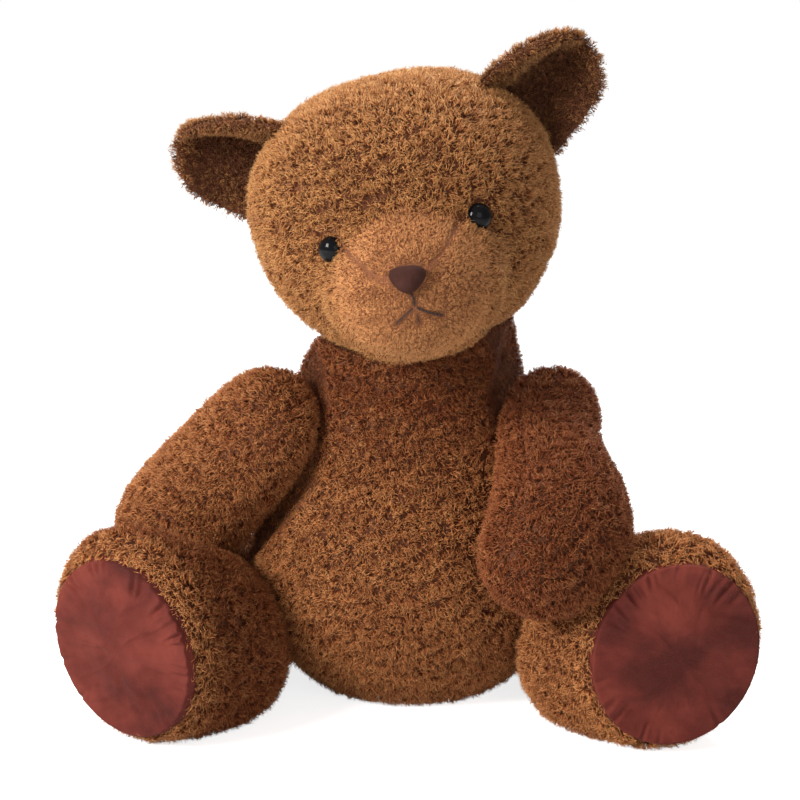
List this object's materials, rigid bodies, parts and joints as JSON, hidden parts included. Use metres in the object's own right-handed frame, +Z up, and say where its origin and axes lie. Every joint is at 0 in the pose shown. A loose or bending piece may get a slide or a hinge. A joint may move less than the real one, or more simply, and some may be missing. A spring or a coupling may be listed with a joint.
{
  "type": "jointed plush bear",
  "caption": "Sitting soft toy bear in curly pile, its head, arms and legs turning on hidden disc joints.",
  "frame": {"origin": "centre of the flat seat patch under the torso, on the floor", "axes": "+Z up, the bear faces -Y, its own left side is towards +X"},
  "size_m": [0.4046, 0.2255, 0.3998],
  "materials": {
    "curly_plush": "fluffy",
    "short_plush": "short pile",
    "suede": "matte suede",
    "fibre_filling": "loose fibre",
    "joint_plastic": "moulded",
    "washer_plastic": "moulded",
    "eye_gloss": "polished",
    "nose_soft": "fine grain",
    "thread": "twisted thread"
  },
  "bodies": {
    "torso": {"torso_cover": "curly_plush", "torso_stuffing": "fibre_filling", "neck_bearing_disc": "joint_plastic", "shoulder_left_bearing_disc": "joint_plastic", "shoulder_right_bearing_disc": "joint_plastic", "hip_left_bearing_disc": "joint_plastic", "hip_right_bearing_disc": "joint_plastic"},
    "head": {"head_cover": "curly_plush", "muzzle_cover": "short_plush", "head_stuffing": "fibre_filling", "ear_left": "curly_plush", "ear_right": "curly_plush", "eye_left": "eye_gloss", "eye_right": "eye_gloss", "eye_washer_left": "washer_plastic", "eye_washer_right": "washer_plastic", "nose": "nose_soft", "nose_washer": "washer_plastic", "mouth_stitch": "thread", "neck_stem_disc": "joint_plastic", "neck_lock_washer": "washer_plastic"},
    "arm_left": {"arm_left_cover": "curly_plush", "arm_left_stuffing": "fibre_filling", "shoulder_left_stem_disc": "joint_plastic", "shoulder_left_lock_washer": "washer_plastic"},
    "arm_right": {"arm_right_cover": "curly_plush", "arm_right_stuffing": "fibre_filling", "shoulder_right_stem_disc": "joint_plastic", "shoulder_right_lock_washer": "washer_plastic"},
    "leg_left": {"leg_left_cover": "curly_plush", "leg_left_stuffing": "fibre_filling", "foot_pad_left": "suede", "hip_left_stem_disc": "joint_plastic", "hip_left_lock_washer": "washer_plastic"},
    "leg_right": {"leg_right_cover": "curly_plush", "leg_right_stuffing": "fibre_filling", "foot_pad_right": "suede", "hip_right_stem_disc": "joint_plastic", "hip_right_lock_washer": "washer_plastic"}
  },
  "joints": [
    {"name": "neck", "type": "hinge", "parent": "torso", "child": "head", "pos_m": [0.012, -0.003, 0.225], "axis": [-0.2248, 0.0079, 0.9744], "continuous": true},
    {"name": "shoulder_left", "type": "hinge", "parent": "torso", "child": "arm_left", "pos_m": [0.069, -0.013, 0.159], "axis": [-0.8286, 0.4792, -0.2895], "range_deg": [0, 45]},
    {"name": "shoulder_right", "type": "hinge", "parent": "torso", "child": "arm_right", "pos_m": [-0.069, -0.013, 0.161], "axis": [-0.8286, -0.4792, 0.2895], "range_deg": [-95, 0]},
    {"name": "hip_left", "type": "hinge", "parent": "torso", "child": "leg_left", "pos_m": [0.068, 0.024, 0.05], "axis": [-0.8885, -0.3059, 0.342], "range_deg": [-80, 0]},
    {"name": "hip_right", "type": "hinge", "parent": "torso", "child": "leg_right", "pos_m": [-0.068, 0.024, 0.05], "axis": [-0.8517, 0.3971, -0.342], "range_deg": [-80, 0]}
  ]
}
